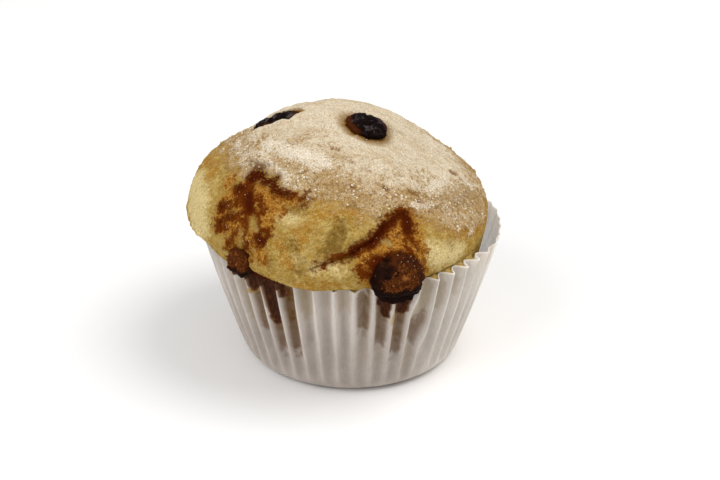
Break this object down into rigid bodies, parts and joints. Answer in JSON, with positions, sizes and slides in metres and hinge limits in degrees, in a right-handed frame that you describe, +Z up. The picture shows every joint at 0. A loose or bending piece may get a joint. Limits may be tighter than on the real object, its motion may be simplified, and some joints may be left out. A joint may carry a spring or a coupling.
{
  "type": "muffin",
  "caption": "Baked berry muffin with a domed crown, standing in a pleated paper baking case.",
  "frame": {"origin": "centre of the case's flat underside, on the surface it stands on", "axes": "+Z up along the case's axis, -Y towards the front, where the juice has run down, +X to the right as seen from the front"},
  "size_m": [0.0728, 0.0709, 0.0597],
  "materials": {
    "case_paper": "matt greaseproof paper, translucent where fat and juice have soaked in",
    "crumb": "matt, open crumb below a dry flour-dusted crust, with sticky juice stains",
    "berry": "wrinkled skin, satin to glossy",
    "burst_berry": "burst fruit, wet and glossy with dark baked juice"
  },
  "bodies": {
    "root": {"paper_case": "case_paper", "muffin": "crumb", "berry_crown": "berry", "berry_sunk": "berry", "berry_rim_right": "burst_berry", "berry_rim_left": "burst_berry", "berry_back_high": "berry", "berry_back_low": "burst_berry"}
  },
  "joints": []
}
